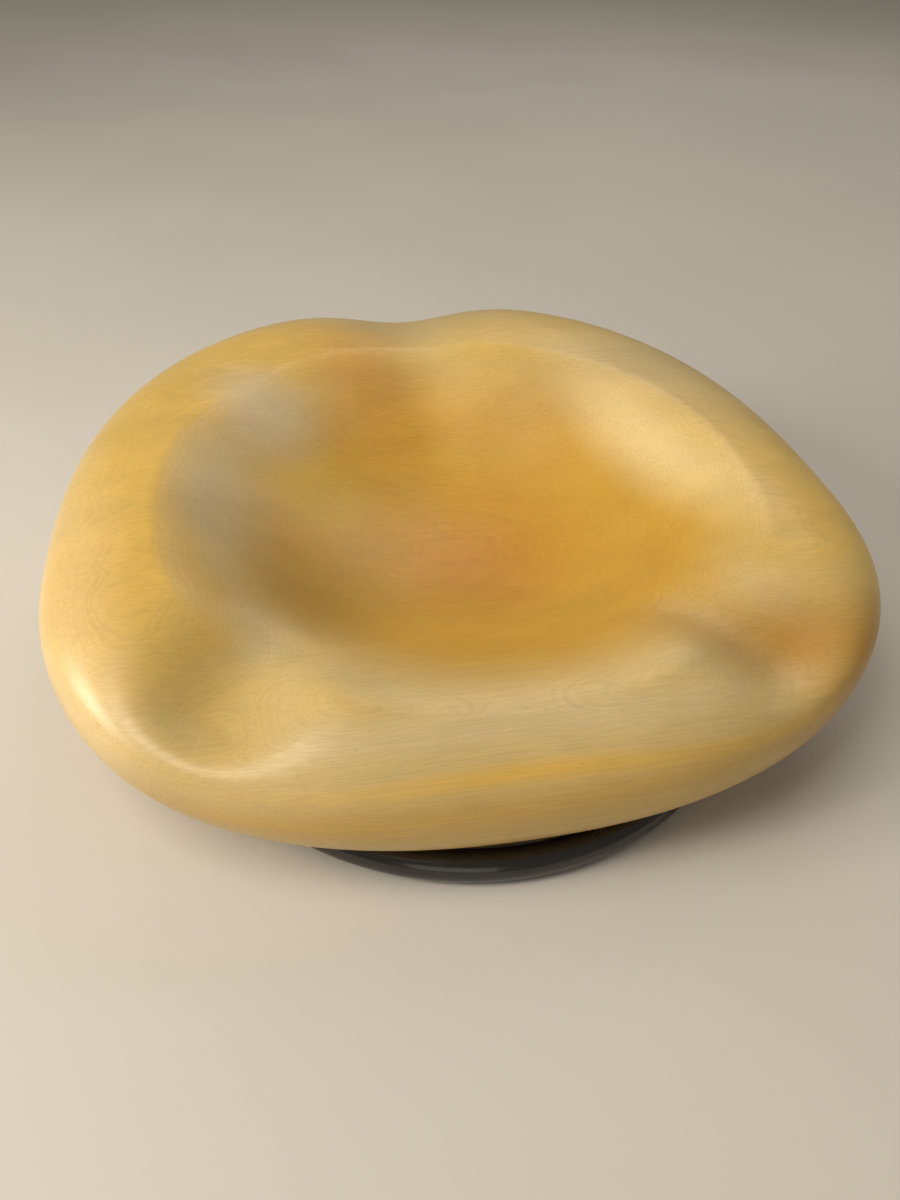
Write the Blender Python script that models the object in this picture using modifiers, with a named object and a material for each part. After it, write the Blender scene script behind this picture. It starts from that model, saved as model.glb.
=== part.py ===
"""Sculpted saddle seat: a carved, laminated timber seat screwed to a steel carrier ring.

Metres, +Z up, front of the seat towards -Y.  The origin is the middle of the object's box in plan, on the
plane that the carrier ring stands on.
"""
import math

import bmesh
import bpy
import numpy as np
from mathutils import Matrix, Vector

# ---- Seat outline in plan ----------------------------------------------------------------------------------
HALF_WIDTH = 0.218          # middle to either side, at the seat's widest line
FRONT_REACH = 0.169         # widest line to the front edge
REAR_REACH = 0.243          # widest line to the rear edge
FRONT_SQUARENESS = 2.7      # superellipse exponent of the front half, 2 is an ellipse
REAR_SQUARENESS = 2.4       # the same for the rear half

# ---- Seat section ------------------------------------------------------------------------------------------
CROWN_HEIGHT = 0.055        # uncarved top above the widest line
DECK_DEPTH = 0.041          # flat underside below the widest line
CROWN_SQUARENESS = 2.35     # how full the top edge is, 2 is an ellipse
UNDERCUT = 0.047            # width of the round from the flat underside out to the edge
UNDERCUT_SPREAD = 1.15      # extra width of that round for each metre that the edge is lifted
FRONT_LIFT = -0.010         # how far the edge is raised at the front, dropped where negative
SIDE_LIFT = 0.027           # at the two sides
REAR_LIFT = 0.045           # at the rear
TAIL_DIP = 0.013            # depth of the tail dip between the two rear lobes
TAIL_INSET = 0.001          # how far the tail dip draws the outline in
TAIL_SPREAD = 0.205         # half angle of the tail dip, in radians

# ---- Carving of the top ------------------------------------------------------------------------------------
BOWL_DEPTH = 0.060          # bowl floor below the uncarved crown
BOWL_HALF_WIDTH = 0.163
BOWL_REAR_LENGTH = 0.145
BOWL_FRONT_LENGTH = 0.165
BOWL_SQUARENESS = 2.8       # how square the bowl's front corners are, 2 is round
BOWL_SETBACK = 0.026        # bowl centre behind the widest line
BOWL_FLATNESS = 2.4         # how flat the bowl floor is, higher is flatter
BOWL_LIP = 1.5              # how softly the bowl wall turns over at the crest, higher is softer
THIGH_DEPTH = 0.019         # depth of the two channels for the thighs
THIGH_SPREAD = 0.034        # half width of a channel
THIGH_INNER = (0.105, -0.080)    # where a channel leaves the bowl, on the +X side
THIGH_OUTER = (0.134, -0.115)    # where it runs out at the front corner
CARVE_BLEND = 2.5           # how crisply a channel opens into the bowl
CARVE_FADE = 0.75           # share of the crown over which the carving dies out towards the edge

# ---- Boards that the blank is glued up from ---------------------------------------------------------------
LOWER_BOARD = 0.021         # thickness of the bottom board
MIDDLE_BOARD = 0.035        # thickness of the middle board, the top one is the rest
GLUE_GAP = 0.0003

# ---- Carrier ring and its lugs -----------------------------------------------------------------------------
RING_RADIUS = 0.150         # to the centre of the tube
RING_TUBE = 0.016           # tube diameter
RING_FORWARD = 0.009        # ring centre in front of the widest line
LUG_COUNT = 4
LUG_WIDTH = 0.030
LUG_THICKNESS = 0.004
LUG_REACH = 0.046           # from the tube's centre line inwards
LUG_SEAT = 0.006            # the lug's welded end lies on the tube, this far inside its centre line
LUG_CORNER = 0.008          # corner radius of the inner end
SCREW_INSET = 0.030         # screw axis inside the tube's centre line

# ---- Fasteners ---------------------------------------------------------------------------------------------
SCREW_SHANK = 0.006
SCREW_LENGTH = 0.018        # under the head
SCREW_HEAD = 0.012
SCREW_HEAD_HEIGHT = 0.0045
SCREW_SOCKET = 0.005        # across the flats of the key's socket
SCREW_SOCKET_DEPTH = 0.0025
WASHER_OUTER = 0.0145
WASHER_THICKNESS = 0.0015
INSERT_OUTER = 0.0105
INSERT_LENGTH = 0.013
INSERT_FLANGE = 0.0125      # diameter of the flange at the insert's mouth
INSERT_FLANGE_THICKNESS = 0.0015
HOLE_CLEARANCE = 0.0005     # on the diameter of every hole over the screw in it
POCKET_CLEARANCE = 0.0006   # on the diameter of the insert's pocket in the board
POCKET_EXTRA = 0.002        # depth of a pocket past its insert
SEAT_GAP = 0.0003           # between two pieces that touch

# ---- Mesh fineness -----------------------------------------------------------------------------------------
BLOCK_SIZE = 1.0            # the cutting blocks are far larger than the seat
SEAT_AROUND = 72
SEAT_RINGS = 36
ROUND_SHARE = 0.75          # share of the lower half's rings that lie on its round
TUBE_AROUND = 64
TUBE_SIDES = 16
ROUND_SIDES = 24

# ---- Derived places ----------------------------------------------------------------------------------------
WIDEST_Z = RING_TUBE + SEAT_GAP + DECK_DEPTH      # height of the seat's widest line over the origin
UNDERSIDE_Z = RING_TUBE + SEAT_GAP
LUG_TOP_Z = UNDERSIDE_Z - SEAT_GAP
LUG_BOTTOM_Z = LUG_TOP_Z - LUG_THICKNESS
WASHER_TOP_Z = LUG_BOTTOM_Z - SEAT_GAP
HEAD_TOP_Z = WASHER_TOP_Z - WASHER_THICKNESS - SEAT_GAP
FIRST_GLUE_Z = UNDERSIDE_Z + LOWER_BOARD
SECOND_GLUE_Z = FIRST_GLUE_Z + MIDDLE_BOARD
SCREW_CIRCLE = RING_RADIUS - SCREW_INSET

WOOD_PALE = (0.66, 0.47, 0.19)
WOOD_WARM = (0.64, 0.40, 0.11)
WOOD_CREAM = (0.68, 0.50, 0.23)
BLACK_STEEL = (0.012, 0.011, 0.011)
ZINC_STEEL = (0.42, 0.42, 0.43)
BRASS_COLOUR = (0.62, 0.44, 0.17)


def clear_scene():
    """Remove whatever the file opened with."""
    for old in list(bpy.data.objects):
        bpy.data.objects.remove(old, do_unlink=True)


def make_collection(name):
    """Return a new collection linked to the scene."""
    made = bpy.data.collections.new(name)
    bpy.context.scene.collection.children.link(made)
    return made


def make_material(name, colour, roughness, metallic):
    """Return a Principled material."""
    made = bpy.data.materials.new(name)
    made.use_nodes = True
    shader = made.node_tree.nodes["Principled BSDF"]
    shader.inputs["Base Color"].default_value = (*colour, 1.0)
    shader.inputs["Roughness"].default_value = roughness
    shader.inputs["Metallic"].default_value = metallic
    made.diffuse_color = (*colour, 1.0)
    return made


def add_object(name, mesh, collection, material=None, location=(0, 0, 0), turn=0.0):
    """Put a mesh in a collection as a named object."""
    made = bpy.data.objects.new(name, mesh)
    made.location = location
    made.rotation_euler = (0, 0, turn)
    collection.objects.link(made)
    if material and not mesh.materials:
        mesh.materials.append(material)
    return made


def mesh_from(bm, name, sharp_angle=math.radians(35)):
    """Turn a bmesh into a mesh that is shaded smooth except at its corners."""
    mesh = bpy.data.meshes.new(name)
    bm.normal_update()
    bm.to_mesh(mesh)
    bm.free()
    mesh.shade_smooth()
    mesh.set_sharp_from_angle(angle=sharp_angle)
    return mesh


def as_cutter(body):
    """Mark an object as a tool for Booleans that isn't part of the seat."""
    body.hide_render = True
    body.display_type = "WIRE"
    return body


def cut(body, tool, operation="DIFFERENCE"):
    """Give an object an exact Boolean."""
    step = body.modifiers.new(tool.name, "BOOLEAN")
    step.operation = operation
    step.solver = "EXACT"
    step.object = tool


# ---- The carved form ---------------------------------------------------------------------------------------
def bell(distance, spread):
    """Smooth bump, 1 at no distance and nearly 0 past twice the spread."""
    return math.exp(-(distance / spread) ** 2)


def tail_bell(angle):
    """How strongly the tail dip acts at a plan angle."""
    off_tail = math.atan2(math.sin(angle - math.pi / 2), math.cos(angle - math.pi / 2))
    return bell(off_tail, TAIL_SPREAD)


def outline_radius(angle):
    """Distance from the seat's middle to its edge at a plan angle, 0 along +X."""
    across, along = abs(math.cos(angle)), math.sin(angle)
    reach, power = (REAR_REACH, REAR_SQUARENESS) if along >= 0 else (FRONT_REACH, FRONT_SQUARENESS)
    plain = ((across / HALF_WIDTH) ** power + (abs(along) / reach) ** power) ** (-1 / power)
    return plain - TAIL_INSET * tail_bell(angle)


def edge_lift(angle):
    """How far the widest line is raised at a plan angle."""
    across, along = math.cos(angle), math.sin(angle)
    end_lift = REAR_LIFT if along >= 0 else FRONT_LIFT
    return end_lift * along ** 2 + SIDE_LIFT * across ** 2 - TAIL_DIP * tail_bell(angle)


def distance_to_segment(point, start, end):
    """Distance in plan from a point to a straight run."""
    run = end - start
    along = max(0.0, min(1.0, (point - start).dot(run) / run.dot(run)))
    return (point - start - along * run).length


def carving(x, y):
    """Depth of wood taken off the crown at a plan place."""
    along = y - BOWL_SETBACK
    length, power = (BOWL_REAR_LENGTH, 2.0) if along >= 0 else (BOWL_FRONT_LENGTH, BOWL_SQUARENESS)
    reach = ((abs(x) / BOWL_HALF_WIDTH) ** power + (abs(along) / length) ** power) ** (1 / power)
    bowl = BOWL_DEPTH * max(0.0, 1 - reach ** BOWL_FLATNESS) ** BOWL_LIP
    thigh_line = distance_to_segment(Vector((abs(x), y)), Vector(THIGH_INNER), Vector(THIGH_OUTER))
    thigh = THIGH_DEPTH * bell(thigh_line, THIGH_SPREAD)
    return (bowl ** CARVE_BLEND + thigh ** CARVE_BLEND) ** (1 / CARVE_BLEND)


def seat_place(direction):
    """Place on the carved seat for a direction on the unit sphere, from the middle of the widest line."""
    angle = math.atan2(direction.y, direction.x)
    level = min(1.0, math.hypot(direction.x, direction.y))
    rise = abs(direction.z)
    edge = outline_radius(angle)
    lift = edge_lift(angle)
    if direction.z >= 0:
        share = level ** (2 / CROWN_SQUARENESS)
        height = rise ** (2 / CROWN_SQUARENESS)
        radius = share * edge
        x, y = radius * math.cos(angle), radius * math.sin(angle)
        fade = min(1.0, height / CARVE_FADE)
        fade = fade * fade * (3 - 2 * fade)
        z = CROWN_HEIGHT * height + lift * share ** 2 - carving(x, y) * fade
        return Vector((x, y, z))
    polar = math.asin(min(1.0, rise))
    round_width = UNDERCUT + UNDERCUT_SPREAD * lift
    turn = polar / ROUND_SHARE
    if turn <= math.pi / 2:
        radius = edge - round_width * (1 - math.cos(turn))
        z = lift - (DECK_DEPTH + lift) * math.sin(turn)
    else:
        left = (math.pi / 2 - polar) / (math.pi / 2 * (1 - ROUND_SHARE))
        radius = (edge - round_width) * left
        z = -DECK_DEPTH
    return Vector((radius * math.cos(angle), radius * math.sin(angle), z))



def seat_blank_mesh():
    """Carve the whole seat, with its middle where the widest lines cross."""
    bm = bmesh.new()
    bmesh.ops.create_uvsphere(bm, u_segments=SEAT_AROUND, v_segments=SEAT_RINGS, radius=1.0)
    for vert in bm.verts:
        vert.co = seat_place(vert.co.normalized())
    return mesh_from(bm, "seat_blank", math.radians(50))


def middle_of(mesh):
    """Middle of a mesh's box along Y."""
    along = np.array([vert.co.y for vert in mesh.vertices])
    return 0.5 * (along.min() + along.max())


# ---- Simple solids -----------------------------------------------------------------------------------------
def block_mesh(name, size, centre):
    """Rectangular block."""
    bm = bmesh.new()
    bmesh.ops.create_cube(bm, size=1.0, matrix=Matrix.Translation(centre) @ Matrix.Diagonal((*size, 1.0)))
    return mesh_from(bm, name)


def slab(name, bottom, top, collection):
    """Cutting block between two heights, wider than the seat."""
    size = (BLOCK_SIZE, BLOCK_SIZE, top - bottom)
    mesh = block_mesh(name, size, (0, 0, 0.5 * (bottom + top)))
    return as_cutter(add_object(name, mesh, collection))


def turned(name, profile, collection, material, location):
    """Turned piece from (radius, height) points that run down its outer side."""
    bm = bmesh.new()
    verts = [bm.verts.new((radius, 0, height)) for radius, height in profile]
    for first, second in zip(verts, verts[1:]):
        bm.edges.new((first, second))
    if profile[-1][0] > 0:
        bm.edges.new((verts[-1], verts[0]))
    mesh = bpy.data.meshes.new(name)
    bm.to_mesh(mesh)
    bm.free()
    made = add_object(name, mesh, collection, material, location)
    lathe = made.modifiers.new("turn", "SCREW")
    lathe.steps = lathe.render_steps = ROUND_SIDES
    lathe.use_merge_vertices = True
    lathe.merge_threshold = 0.00005
    lathe.use_smooth_shade = True
    return made


def screw_places(ring_y):
    """Yield the number, turn and plan place of each screw round the ring."""
    for number in range(LUG_COUNT):
        turn = 2 * math.pi * (number + 0.5) / LUG_COUNT
        yield number + 1, turn, SCREW_CIRCLE * math.cos(turn), ring_y + SCREW_CIRCLE * math.sin(turn)


# ---- Pieces ------------------------------------------------------------------------------------------------
def add_boards(seat, tools, ring_y, seat_y):
    """Glued boards that the carved seat is made of."""
    layers = (
        ("seat_board_lower", -BLOCK_SIZE, FIRST_GLUE_Z, WOOD_PALE),
        ("seat_board_middle", FIRST_GLUE_Z + GLUE_GAP, SECOND_GLUE_Z, WOOD_WARM),
        ("seat_board_upper", SECOND_GLUE_Z + GLUE_GAP, BLOCK_SIZE, WOOD_CREAM),
    )
    blank = seat_blank_mesh()
    for name, bottom, top, colour in layers:
        mesh = blank.copy()
        board = add_object(name, mesh, seat, make_material(name, colour, 0.35, 0.0), (0, seat_y, WIDEST_Z))
        cut(board, slab(f"{name}_layer", bottom, top, tools), "INTERSECT")
        if name == "seat_board_lower":
            for number, _, x, y in screw_places(ring_y):
                cut(board, insert_pocket(number, x, y, tools))


def insert_pocket(number, x, y, tools):
    """Stepped hole in the underside that an insert is driven into."""
    wide = 0.5 * (INSERT_FLANGE + POCKET_CLEARANCE)
    narrow = 0.5 * (INSERT_OUTER + POCKET_CLEARANCE)
    step = UNDERSIDE_Z + INSERT_FLANGE_THICKNESS + SEAT_GAP
    end = UNDERSIDE_Z + INSERT_LENGTH + POCKET_EXTRA
    profile = ((0, end), (narrow, end), (narrow, step), (wide, step), (wide, 0), (0, 0))
    return as_cutter(turned(f"insert_pocket_{number}", profile, tools, None, (x, y, 0)))


def add_insert(number, x, y, seat, material):
    """Flanged threaded insert, flush with the underside of the seat."""
    flange = 0.5 * INSERT_FLANGE
    barrel = 0.5 * INSERT_OUTER
    bore = 0.5 * (SCREW_SHANK + HOLE_CLEARANCE)
    profile = (
        (barrel, INSERT_LENGTH),
        (barrel, INSERT_FLANGE_THICKNESS),
        (flange, INSERT_FLANGE_THICKNESS),
        (flange, 0),
        (bore, 0),
        (bore, INSERT_LENGTH),
    )
    turned(f"threaded_insert_{number}", profile, seat, material, (x, y, UNDERSIDE_Z))


def add_washer(number, x, y, seat, material):
    """Plain washer under a lug."""
    outer = 0.5 * WASHER_OUTER
    bore = 0.5 * (SCREW_SHANK + HOLE_CLEARANCE)
    profile = ((outer, 0), (outer, -WASHER_THICKNESS), (bore, -WASHER_THICKNESS), (bore, 0))
    turned(f"lug_washer_{number}", profile, seat, material, (x, y, WASHER_TOP_Z))


def add_screw(number, x, y, seat, tools, material):
    """Cap screw from below, with a hexagon socket in its head."""
    head = 0.5 * SCREW_HEAD
    shank = 0.5 * SCREW_SHANK
    chamfer = 0.15 * shank
    profile = (
        (0, SCREW_LENGTH),
        (shank - chamfer, SCREW_LENGTH),
        (shank, SCREW_LENGTH - chamfer),
        (shank, 0),
        (head, 0),
        (head, chamfer - SCREW_HEAD_HEIGHT),
        (head - chamfer, -SCREW_HEAD_HEIGHT),
        (0, -SCREW_HEAD_HEIGHT),
    )
    screw = turned(f"lug_screw_{number}", profile, seat, material, (x, y, HEAD_TOP_Z))
    bm = bmesh.new()
    across_corners = SCREW_SOCKET / math.sqrt(3)
    bmesh.ops.create_cone(bm, cap_ends=True, segments=6, radius1=across_corners, radius2=across_corners,
                          depth=2 * SCREW_SOCKET_DEPTH)
    name = f"screw_socket_{number}"
    place = (x, y, HEAD_TOP_Z - SCREW_HEAD_HEIGHT)
    cut(screw, as_cutter(add_object(name, mesh_from(bm, name), tools, None, place)))


def torus_mesh(name, tube_radius):
    """Ring tube, lying flat round the origin."""
    bpy.ops.mesh.primitive_torus_add(major_radius=RING_RADIUS, minor_radius=tube_radius,
                                     major_segments=TUBE_AROUND, minor_segments=TUBE_SIDES)
    made = bpy.context.object
    mesh = made.data
    mesh.name = name
    bpy.data.objects.remove(made, do_unlink=True)
    mesh.shade_smooth()
    return mesh


def add_ring(seat, ring_y, material):
    """Round steel tube that carries the seat."""
    mesh = torus_mesh("carrier_ring", 0.5 * RING_TUBE)
    add_object("carrier_ring", mesh, seat, material, (0, ring_y, 0.5 * RING_TUBE))


def lug_mesh(name):
    """Flat bar pointing inwards along -X from the tube, with its two inner corners rounded."""
    bm = bmesh.new()
    length = LUG_REACH - LUG_SEAT
    centre = (-LUG_SEAT - 0.5 * length, 0, -0.5 * LUG_THICKNESS)
    size = (length, LUG_WIDTH, LUG_THICKNESS)
    bmesh.ops.create_cube(bm, size=1.0, matrix=Matrix.Translation(centre) @ Matrix.Diagonal((*size, 1.0)))
    inner = [
        edge for edge in bm.edges
        if all(vert.co.x < centre[0] for vert in edge.verts)
        and abs(edge.verts[0].co.z - edge.verts[1].co.z) > 0.5 * LUG_THICKNESS
    ]
    bmesh.ops.bevel(bm, geom=inner, offset=LUG_CORNER, segments=6, profile=0.5, affect="EDGES")
    bmesh.ops.translate(bm, verts=bm.verts, vec=(RING_RADIUS, 0, 0))
    return mesh_from(bm, name)


def add_lug(number, turn, x, y, ring_y, seat, tools, material, cope):
    """Flat lug welded inside the ring, drilled for its screw and coped to the tube."""
    name = f"ring_lug_{number}"
    lug = add_object(name, lug_mesh(name), seat, material, (0, ring_y, LUG_TOP_Z), turn)
    cut(lug, cope)
    radius = 0.5 * (SCREW_SHANK + HOLE_CLEARANCE)
    profile = ((0, LUG_TOP_Z + radius), (radius, LUG_TOP_Z + radius), (radius, 0), (0, 0))
    cut(lug, as_cutter(turned(f"lug_hole_{number}", profile, tools, None, (x, y, 0))))


def main():
    """Build every piece of the seat."""
    clear_scene()
    seat = make_collection("saddle_seat")
    tools = make_collection("cutters")
    seat_y = -middle_of(seat_blank_mesh())
    ring_y = seat_y - RING_FORWARD
    enamel = make_material("black_enamel", BLACK_STEEL, 0.22, 0.0)
    zinc = make_material("zinc_steel", ZINC_STEEL, 0.35, 1.0)
    brass = make_material("insert_brass", BRASS_COLOUR, 0.3, 1.0)
    add_boards(seat, tools, ring_y, seat_y)
    add_ring(seat, ring_y, enamel)
    cope_mesh = torus_mesh("ring_cope", 0.5 * RING_TUBE + SEAT_GAP)
    cope = as_cutter(add_object("ring_cope", cope_mesh, tools, None, (0, ring_y, 0.5 * RING_TUBE)))
    for number, turn, x, y in screw_places(ring_y):
        add_lug(number, turn, x, y, ring_y, seat, tools, enamel, cope)
        add_washer(number, x, y, seat, zinc)
        add_screw(number, x, y, seat, tools, zinc)
        add_insert(number, x, y, seat, brass)


main()
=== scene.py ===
"""Finished look of a sculpted saddle seat: carved timber boards on a welded and enamelled steel ring."""
import logging
import math
from dataclasses import dataclass, field
from enum import Enum
from typing import Callable, Iterable, Sequence

import bmesh
import bpy
from mathutils import Matrix, Vector


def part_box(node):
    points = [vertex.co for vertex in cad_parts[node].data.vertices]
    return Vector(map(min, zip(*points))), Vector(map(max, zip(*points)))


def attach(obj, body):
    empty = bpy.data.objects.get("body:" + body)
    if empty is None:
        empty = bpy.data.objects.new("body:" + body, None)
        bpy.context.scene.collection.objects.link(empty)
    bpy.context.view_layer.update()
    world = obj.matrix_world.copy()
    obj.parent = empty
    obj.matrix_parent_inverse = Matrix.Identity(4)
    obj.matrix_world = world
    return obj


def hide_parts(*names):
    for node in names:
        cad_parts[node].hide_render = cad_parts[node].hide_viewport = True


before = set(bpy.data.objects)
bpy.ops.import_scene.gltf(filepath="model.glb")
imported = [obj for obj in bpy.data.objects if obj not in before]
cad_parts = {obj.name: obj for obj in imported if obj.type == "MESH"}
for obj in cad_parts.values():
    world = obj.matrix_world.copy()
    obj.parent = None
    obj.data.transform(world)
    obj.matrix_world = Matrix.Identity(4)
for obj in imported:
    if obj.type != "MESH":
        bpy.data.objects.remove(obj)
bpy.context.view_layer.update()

Colour = tuple[float, float, float]
Place = tuple[float, float, float]
Socket = bpy.types.NodeSocket

log = logging.getLogger("saddle_seat")
BODY = "root"
LUG_NUMBERS = range(1, 5)
OVERSHOOT = 0.01  # how far a cutting tool stands past the face that it cuts
SAME_PLACE = 0.00001  # heights and radii that are nearer than this count as one
MERGE = 0.000001  # corners that are nearer than this are merged


class Slot(Enum):
    """Material slots of the pieces."""

    TIMBER = "seat_timber"
    ENAMEL = "black_enamel"
    ZINC = "zinc_steel"
    BRASS = "insert_brass"


# ---- Mesh helpers ------------------------------------------------------------------------------------------
def deselect_all() -> None:
    """Leave object mode with nothing selected."""
    if bpy.context.object and bpy.context.object.mode != "OBJECT":
        bpy.ops.object.mode_set(mode="OBJECT")
    bpy.ops.object.select_all(action="DESELECT")


def select_only(piece: bpy.types.Object) -> None:
    """Make one object the selected and active one.

    Args:
        piece: the object to select.
    """
    deselect_all()
    piece.select_set(True)
    bpy.context.view_layer.objects.active = piece


def settle(piece: bpy.types.Object, name: str) -> bpy.types.Object:
    """Name a new piece and bake its place into its mesh.

    Args:
        piece: the object as its operators left it.
        name: the piece's name.

    Returns:
        The same object, at the origin, unturned and unscaled.
    """
    select_only(piece)
    bpy.ops.object.transform_apply(location=True, rotation=True, scale=True)
    piece.name = piece.data.name = name
    return piece


def apply_all(piece: bpy.types.Object) -> None:
    """Apply every modifier of a piece in order.

    Args:
        piece: the object whose modifiers are applied.
    """
    select_only(piece)
    for step in list(piece.modifiers):
        bpy.ops.object.modifier_apply(modifier=step.name)


def smooth(piece: bpy.types.Object, corner: float = 30.0) -> None:
    """Shade a piece smooth except at its corners.

    Args:
        piece: the object to shade.
        corner: angle in degrees past which an edge stays sharp.
    """
    select_only(piece)
    bpy.ops.object.shade_smooth_by_angle(angle=math.radians(corner))


def ease_edges(piece: bpy.types.Object, width: float, corner: float = 40.0, segments: int = 3) -> None:
    """Round a piece's sharp edges with an applied bevel.

    Args:
        piece: the object to ease.
        width: width of the rounded edge in metres.
        corner: angle in degrees past which an edge is rounded.
        segments: steps across the rounded edge.
    """
    ease = piece.modifiers.new("eased edges", "BEVEL")
    ease.width = width
    ease.segments = segments
    ease.limit_method = "ANGLE"
    ease.angle_limit = math.radians(corner)
    ease.use_clamp_overlap = True
    apply_all(piece)


def keep_normals(piece: bpy.types.Object, whole: bpy.types.Object, reach: float = 0.00005) -> None:
    """Shade a sawn piece as the whole that it came from, so that no joint line shows.

    Args:
        piece: the sawn piece.
        whole: the smooth body before sawing.
        reach: how far from the whole's skin a place still counts as on it.
    """
    carry = piece.modifiers.new("normals of the whole", "DATA_TRANSFER")
    carry.object = whole
    carry.use_loop_data = True
    carry.data_types_loops = {"CUSTOM_NORMAL"}
    carry.loop_mapping = "POLYINTERP_NEAREST"
    carry.use_max_distance = True
    carry.max_distance = reach
    apply_all(piece)


def cut_away(piece: bpy.types.Object, tool: bpy.types.Object) -> None:
    """Cut a tool's shape out of a piece and remove the tool.

    Args:
        piece: the object that is cut.
        tool: the closed object that cuts it.
    """
    step = piece.modifiers.new("cut", "BOOLEAN")
    step.operation = "DIFFERENCE"
    step.solver = "EXACT"
    step.object = tool
    apply_all(piece)
    bpy.data.objects.remove(tool, do_unlink=True)


def edit(piece: bpy.types.Object, part: str = "FACE") -> bmesh.types.BMesh:
    """Enter edit mode with nothing selected.

    Args:
        piece: the object to edit.
        part: VERT, EDGE or FACE, the part that is picked.

    Returns:
        The live edit mesh, for picking parts by place.
    """
    select_only(piece)
    bpy.ops.object.mode_set(mode="EDIT")
    bpy.ops.mesh.select_mode(type=part)
    bpy.ops.mesh.select_all(action="DESELECT")
    return bmesh.from_edit_mesh(piece.data)


def pick(piece: bpy.types.Object, parts: Iterable, wanted: Callable) -> None:
    """Select the parts of a live edit mesh that pass a test.

    Args:
        piece: the object in edit mode.
        parts: its faces, edges or vertices.
        wanted: test of one part.
    """
    for part in parts:
        part.select_set(wanted(part))
    live = bmesh.from_edit_mesh(piece.data)
    live.select_flush_mode()
    bmesh.update_edit_mesh(piece.data)


def rod(name: str, radius: float, bottom: float, top: float, place: Vector, sides: int) -> bpy.types.Object:
    """Add an upright cylinder between two heights.

    Args:
        name: name of the new piece.
        radius: its radius.
        bottom: height of its lower end.
        top: height of its upper end.
        place: plan place of its axis.
        sides: number of sides.

    Returns:
        The new piece.
    """
    deselect_all()
    bpy.ops.mesh.primitive_cylinder_add(vertices=sides, radius=radius, depth=top - bottom,
                                        location=(place.x, place.y, 0.5 * (bottom + top)))
    return settle(bpy.context.object, name)


def is_end(face: bmesh.types.BMFace, side: int) -> bool:
    """Tell whether a face is the large end of a rod, upper for side 1 and lower for side -1."""
    return len(face.verts) > 4 and face.normal.z * side > 0.9


def rise(edge: bmesh.types.BMEdge) -> float:
    """Return how far an edge climbs from end to end."""
    return abs(edge.verts[0].co.z - edge.verts[1].co.z)


def cut_rows(piece: bpy.types.Object, shortest: float, cuts: int) -> None:
    """Cut the upright edges of a turned piece into equal rows.

    Args:
        piece: the piece.
        shortest: edges that climb less than this are left whole.
        cuts: cuts along each edge.
    """
    live = edit(piece, "EDGE")
    pick(piece, live.edges, lambda edge: rise(edge) > shortest)
    bpy.ops.mesh.subdivide(number_cuts=cuts)
    bpy.ops.object.mode_set(mode="OBJECT")


def draw_out(piece: bpy.types.Object, step: float, length: float) -> None:
    """Inset the upper end of a rod and draw a thinner rod out of it.

    Args:
        piece: the rod.
        step: how much smaller the new rod's radius is.
        length: length of the new rod.
    """
    live = edit(piece)
    pick(piece, live.faces, lambda face: is_end(face, 1))
    bpy.ops.mesh.inset(thickness=step)
    bpy.ops.mesh.extrude_region_move(TRANSFORM_OT_translate={"value": (0, 0, length)})
    bpy.ops.object.mode_set(mode="OBJECT")


def bore_through(piece: bpy.types.Object, radius: float, outer: float) -> None:
    """Open a round hole from end to end of a rod by insetting and bridging its two ends.

    Args:
        piece: the rod.
        radius: radius of the hole.
        outer: radius of the rod's ends.
    """
    live = edit(piece)
    pick(piece, live.faces, lambda face: is_end(face, 1) or is_end(face, -1))
    bpy.ops.mesh.inset(thickness=outer - radius)
    bpy.ops.mesh.bridge_edge_loops()
    bpy.ops.object.mode_set(mode="OBJECT")


def pull_in(vert: bpy.types.MeshVertex, axis: Vector, share: float) -> None:
    """Pull a vertex towards an upright axis by a share of its distance."""
    vert.co.x = axis.x + (vert.co.x - axis.x) * (1 - share)
    vert.co.y = axis.y + (vert.co.y - axis.y) * (1 - share)


def copy_of(model: bpy.types.Object, name: str, move: Matrix) -> bpy.types.Object:
    """Copy a modelled piece, with a mesh of its own, to another place.

    Args:
        model: the piece as it was modelled.
        name: name of the copy.
        move: the way from the model's place to the copy's.

    Returns:
        The copy, at the origin, with its place in its mesh.
    """
    mesh = model.data.copy()
    mesh.name = name
    mesh.transform(move)
    twin = bpy.data.objects.new(name, mesh)
    bpy.context.scene.collection.objects.link(twin)
    return twin


def middle_of(node: str) -> Vector:
    """Return the middle of a frame part's box."""
    low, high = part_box(node)
    return 0.5 * (low + high)


def bell(distance: float, spread: float) -> float:
    """Return a smooth hump of height 1."""
    return math.exp(-(distance / spread) ** 2)


def hand_over(piece: bpy.types.Object, slot: Slot, material: bpy.types.Material, *nodes: str) -> None:
    """Dress a piece, hang it on the body and hide the frame parts that it stands for.

    Args:
        piece: the finished piece.
        slot: the material slot of the piece; not used.
        material: the material it wears.
        nodes: frame parts that it stands for.
    """
    piece.data.materials.clear()
    piece.data.materials.append(material)
    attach(piece, BODY)
    if nodes:
        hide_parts(*nodes)
    log.info("%s: %d faces", piece.name, len(piece.data.polygons))


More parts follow.
